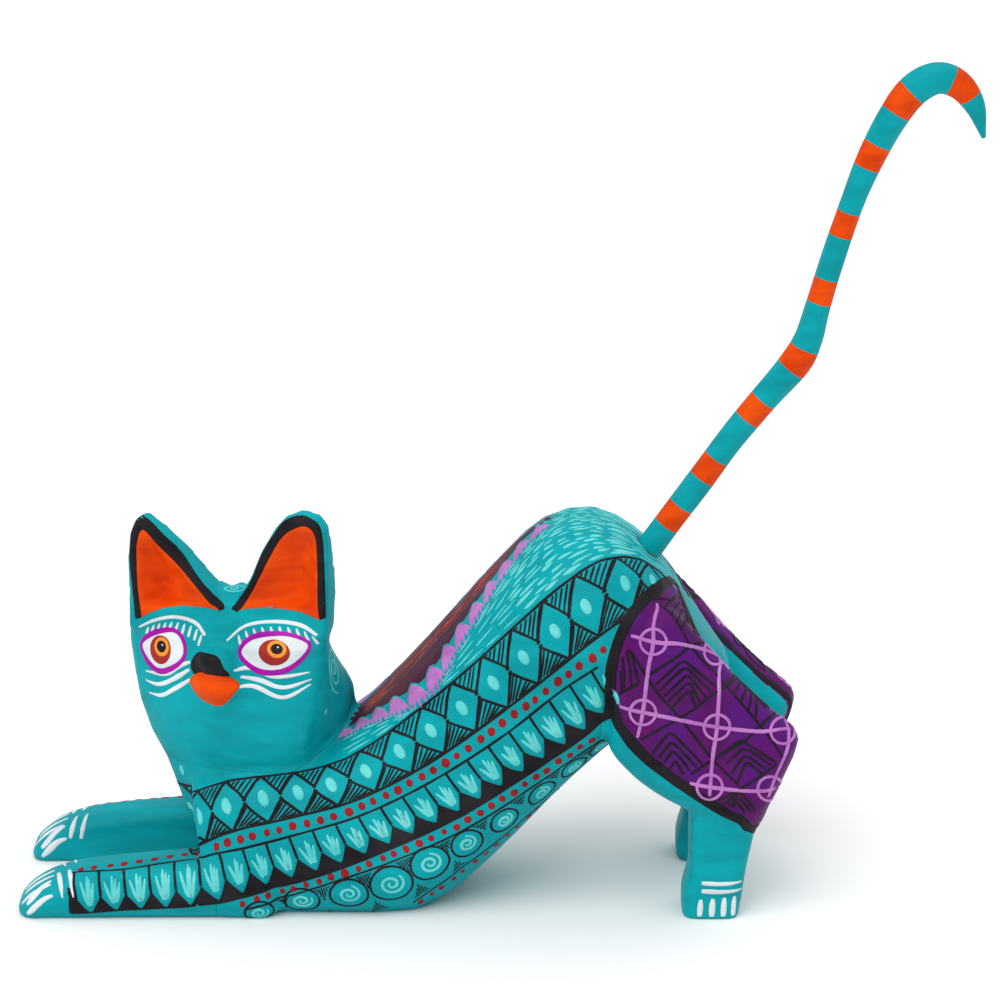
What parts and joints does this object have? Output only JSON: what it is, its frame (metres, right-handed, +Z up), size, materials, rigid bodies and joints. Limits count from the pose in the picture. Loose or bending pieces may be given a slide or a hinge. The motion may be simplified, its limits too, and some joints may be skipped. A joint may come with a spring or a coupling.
{
  "type": "carved wooden cat figure",
  "caption": "Hand-carved, brightly painted wooden cat stretching with chest down and rump up; the tall hooked tail turns in, and pulls out of, a round socket",
  "frame": {"origin": "On the ground, under the middle of the whole figure's bounding box", "axes": "+X from the nose towards the tail tip, +Y towards the cat's right side, +Z up"},
  "size_m": [0.1984, 0.0468, 0.177],
  "materials": {
    "body_paint": "teal acrylic paint with patterned bands, satin",
    "head_paint": "teal acrylic paint with orange ears, satin",
    "front_leg_paint": "teal acrylic paint with black and light teal petals, satin",
    "hind_leg_paint": "purple acrylic panel over teal, satin",
    "tail_paint": "teal acrylic paint with orange bands, satin",
    "dowel_wood": "bare whittled wood"
  },
  "bodies": {
    "figure": {"torso": "body_paint", "head": "head_paint", "front_leg_left": "front_leg_paint", "front_leg_right": "front_leg_paint", "hind_leg_left": "hind_leg_paint", "hind_leg_right": "hind_leg_paint", "neck_dowel": "dowel_wood", "front_leg_dowel_left": "dowel_wood", "front_leg_dowel_right": "dowel_wood", "hind_leg_dowel_left": "dowel_wood", "hind_leg_dowel_right": "dowel_wood"},
    "peg": {"tail_peg": "dowel_wood"},
    "tail": {"tail": "tail_paint"}
  },
  "joints": [
    {"name": "tail_pull", "type": "slide", "parent": "figure", "child": "peg", "axis": [0.5735, 0, 0.8192], "range_m": [0, 0.018]},
    {"name": "tail_turn", "type": "hinge", "parent": "peg", "child": "tail", "pos_m": [0.03229, 0, 0.0744], "axis": [0.5735, 0, 0.8192], "continuous": true}
  ]
}
